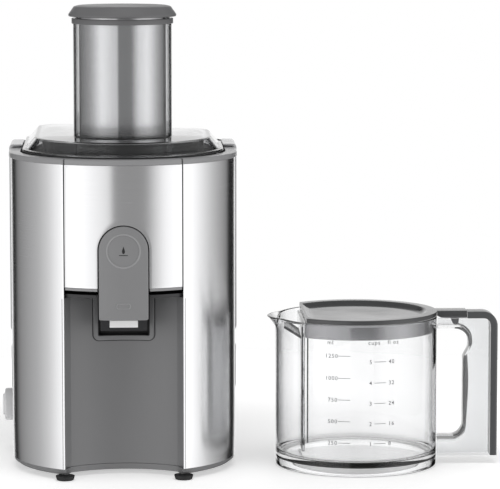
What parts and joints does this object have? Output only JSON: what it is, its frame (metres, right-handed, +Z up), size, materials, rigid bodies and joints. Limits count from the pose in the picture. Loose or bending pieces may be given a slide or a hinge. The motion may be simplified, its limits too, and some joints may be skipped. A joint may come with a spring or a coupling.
{
  "type": "centrifugal juicer",
  "caption": "Upright steel and grey centrifugal juicer with feed chute, pusher, spout rocker, side clamps, rear pulp container and a separate clear jug with foam separator.",
  "frame": {"origin": "on the standing plane, straight below the drive spindle's axis", "axes": "+Z up along the spindle; the front with the spout looks along -Y; the speed knob is on the -X side and the jug stands on the +X side"},
  "size_m": [0.4303, 0.2764, 0.397],
  "materials": {
    "brushed_steel": "satin, brushed across",
    "spring_steel": "etched sieve steel",
    "mid_grey_plastic": "satin",
    "rim_grey_plastic": "satin gloss",
    "silver_plastic": "silver lacquer",
    "dark_plastic": "matt",
    "smoke_plastic": "gloss",
    "clear_plastic": "clear gloss",
    "pusher_plastic": "satin",
    "jug_trim_plastic": "gloss",
    "black_rubber": "matt",
    "white_silicone": "satin",
    "steel_hardware": "plated",
    "cast_metal": "die-cast",
    "lamination": "laminated",
    "copper": "enamelled wire",
    "fan_plastic": "matt",
    "circuit_board": "solder mask",
    "electronics": "moulded"
  },
  "bodies": {
    "motor_block": {"base_plate": "mid_grey_plastic", "foot_pads": "black_rubber", "base_screws": "steel_hardware", "recess_wall": "mid_grey_plastic", "recess_frame": "mid_grey_plastic", "pocket_liner": "dark_plastic", "main_housing": "dark_plastic", "steel_wrap_left": "brushed_steel", "steel_wrap_right": "brushed_steel", "side_panel_left": "mid_grey_plastic", "side_panel_right": "mid_grey_plastic", "cord_gland": "dark_plastic", "clamp_pins": "steel_hardware", "rim_deck": "rim_grey_plastic", "motor_bracket_low": "cast_metal", "motor_bracket_high": "cast_metal", "motor_bolts": "steel_hardware", "motor_dampers": "black_rubber", "motor_stator": "lamination", "stator_coils": "copper", "brush_holders": "dark_plastic", "shaft_bearings": "steel_hardware", "shaft_seal": "black_rubber", "speed_switch": "dark_plastic", "control_board": "circuit_board", "board_parts": "electronics", "interlock_switch": "dark_plastic"},
    "spindle": {"motor_rotor": "lamination", "commutator": "copper", "motor_shaft": "steel_hardware", "cooling_fan": "fan_plastic", "drive_coupling": "cast_metal"},
    "knob": {"speed_knob": "silver_plastic", "knob_shaft": "steel_hardware"},
    "clamp_r": {"clamp_right": "silver_plastic"},
    "clamp_l": {"clamp_left": "silver_plastic"},
    "juice_collector": {"collector_bowl": "smoke_plastic", "spout_duct": "smoke_plastic", "collector_rim": "rim_grey_plastic", "front_backing": "mid_grey_plastic", "front_panel": "brushed_steel", "rocker_pin": "steel_hardware"},
    "rocker": {"spout_rocker": "mid_grey_plastic", "rocker_arm": "dark_plastic", "valve_pad": "white_silicone"},
    "filter": {"basket_hub": "dark_plastic", "grater_disc": "spring_steel", "filter_basket": "spring_steel", "basket_ring": "dark_plastic"},
    "lid": {"lid_cover": "clear_plastic", "chute_ring": "mid_grey_plastic"},
    "pusher": {"pusher_cap": "mid_grey_plastic", "pusher_sleeve": "brushed_steel", "pusher_core": "pusher_plastic"},
    "pulp_bin": {"pulp_container": "smoke_plastic"},
    "jug": {"jug_body": "clear_plastic", "handle_trim": "jug_trim_plastic"},
    "jug_top": {"jug_lid": "jug_trim_plastic", "foam_separator": "clear_plastic"}
  },
  "joints": [
    {"name": "spindle_spin", "type": "hinge", "parent": "motor_block", "child": "spindle", "pos_m": [0, 0, 0.1], "axis": [0, 0, 1], "continuous": true},
    {"name": "knob_turn", "type": "hinge", "parent": "motor_block", "child": "knob", "pos_m": [-0.1, 0.058, 0.042], "axis": [-1, 0, 0], "range_deg": [0, 90]},
    {"name": "clamp_right_swing", "type": "hinge", "parent": "motor_block", "child": "clamp_r", "pos_m": [0.093, 0.062, 0.115], "axis": [0, 1, 0], "range_deg": [0, 60]},
    {"name": "clamp_left_swing", "type": "hinge", "parent": "motor_block", "child": "clamp_l", "pos_m": [-0.093, 0.062, 0.115], "axis": [0, -1, 0], "range_deg": [0, 60]},
    {"name": "collector_lift", "type": "slide", "parent": "motor_block", "child": "juice_collector", "axis": [0, 0, 1], "range_m": [0, 0.16]},
    {"name": "rocker_tilt", "type": "hinge", "parent": "juice_collector", "child": "rocker", "pos_m": [0, -0.089, 0.178], "axis": [-1, 0, 0], "range_deg": [0, 6]},
    {"name": "filter_spin", "type": "hinge", "parent": "juice_collector", "child": "filter", "pos_m": [0, 0, 0.22], "axis": [0, 0, 1], "continuous": true},
    {"name": "lid_lift", "type": "slide", "parent": "juice_collector", "child": "lid", "axis": [0, 0, 1], "range_m": [0, 0.12]},
    {"name": "pusher_slide", "type": "slide", "parent": "lid", "child": "pusher", "axis": [0, 0, 1], "range_m": [0, 0.19]},
    {"name": "pulp_container_slide", "type": "slide", "parent": "motor_block", "child": "pulp_bin", "axis": [0, 1, 0], "range_m": [0, 0.12]},
    {"name": "jug_lift", "type": "slide", "parent": "motor_block", "child": "jug", "axis": [0, 0, 1], "range_m": [0, 0.21]},
    {"name": "jug_lid_lift", "type": "slide", "parent": "jug", "child": "jug_top", "axis": [0, 0, 1], "range_m": [0, 0.14]}
  ],
  "couplings": [
    {"joint": "filter_spin", "follows": "spindle_spin", "ratio": 1}
  ]
}
